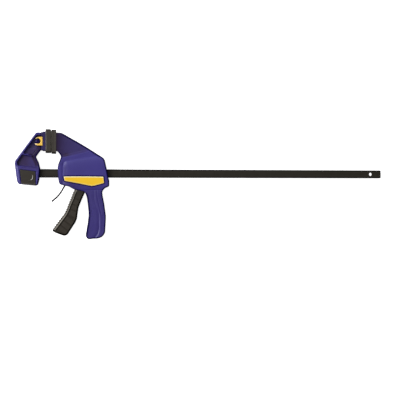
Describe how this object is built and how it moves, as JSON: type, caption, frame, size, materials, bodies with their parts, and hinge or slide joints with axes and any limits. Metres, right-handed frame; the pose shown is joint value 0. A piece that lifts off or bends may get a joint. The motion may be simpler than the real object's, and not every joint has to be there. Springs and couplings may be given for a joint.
{
  "type": "quick release bar clamp",
  "caption": "One-handed bar clamp with a flat steel bar, a ribbed fixed jaw with a swivelling pad, and a sliding jaw with squeeze trigger and release lever",
  "frame": {"origin": "centre of the fixed jaw's pad face, at the middle of the bar's thickness", "axes": "+X along the bar from the fixed jaw to the free end, +Y from the bar to the pads, +Z the clamp's thickness: it lies on its back"},
  "size_m": [0.8545, 0.2456, 0.034],
  "materials": {
    "blue_plastic": "fine-grained moulded blue-violet plastic",
    "yellow_plastic": "semi-gloss yellow plastic",
    "pad_rubber": "soft dark grey pad",
    "dark_plastic": "dark grey moulded plastic",
    "strip_rubber": "mid grey ribbed soft strip",
    "black_steel": "black oxide steel",
    "spring_steel": "bright drawn wire",
    "zinc_steel": "zinc plated"
  },
  "bodies": {
    "bar_body": {"bar": "black_steel", "fixed_jaw": "blue_plastic", "jaw_pin": "zinc_steel", "base_cover_front": "dark_plastic", "base_cover_back": "dark_plastic"},
    "swivel_pad": {"swivel_clip": "yellow_plastic", "swivel_plate": "blue_plastic", "fixed_pad": "pad_rubber"},
    "sliding_jaw": {"housing_front": "blue_plastic", "housing_back": "blue_plastic", "sliding_pad": "pad_rubber", "side_panel_front": "yellow_plastic", "side_panel_back": "yellow_plastic", "housing_screws": "zinc_steel", "trigger_pin": "zinc_steel", "drive_spring": "spring_steel", "brake_spring": "spring_steel"},
    "trigger": {"trigger": "dark_plastic", "trigger_grip": "strip_rubber"},
    "drive_plates": {"drive_plates": "zinc_steel"},
    "release_lever": {"release_lever": "black_steel"}
  },
  "joints": [
    {"name": "jaw_slide", "type": "slide", "parent": "bar_body", "child": "sliding_jaw", "axis": [1, 0, 0], "range_m": [0, 0.61]},
    {"name": "pad_swivel", "type": "hinge", "parent": "bar_body", "child": "swivel_pad", "pos_m": [-0.0292, 0, 0], "axis": [0, 0, 1], "range_deg": [-1.5, 1.5]},
    {"name": "trigger_squeeze", "type": "hinge", "parent": "sliding_jaw", "child": "trigger", "pos_m": [0.077, -0.0435, 0], "axis": [0, 0, 1], "range_deg": [0, 11], "stiffness_Nm_per_rad": 3, "springref_deg": -8.59},
    {"name": "drive_stroke", "type": "slide", "parent": "sliding_jaw", "child": "drive_plates", "axis": [1, 0, 0], "range_m": [0, 0.0053], "deforming": ["drive_spring"]},
    {"name": "brake_release", "type": "hinge", "parent": "sliding_jaw", "child": "release_lever", "pos_m": [0.0385, -0.0475, 0], "axis": [0, 0, 1], "range_deg": [0, 7], "stiffness_Nm_per_rad": 0.6, "springref_deg": -6.88, "deforming": ["brake_spring"]}
  ],
  "couplings": [
    {"joint": "drive_stroke", "follows": "trigger_squeeze", "m_per_rad": 0.0275}
  ]
}
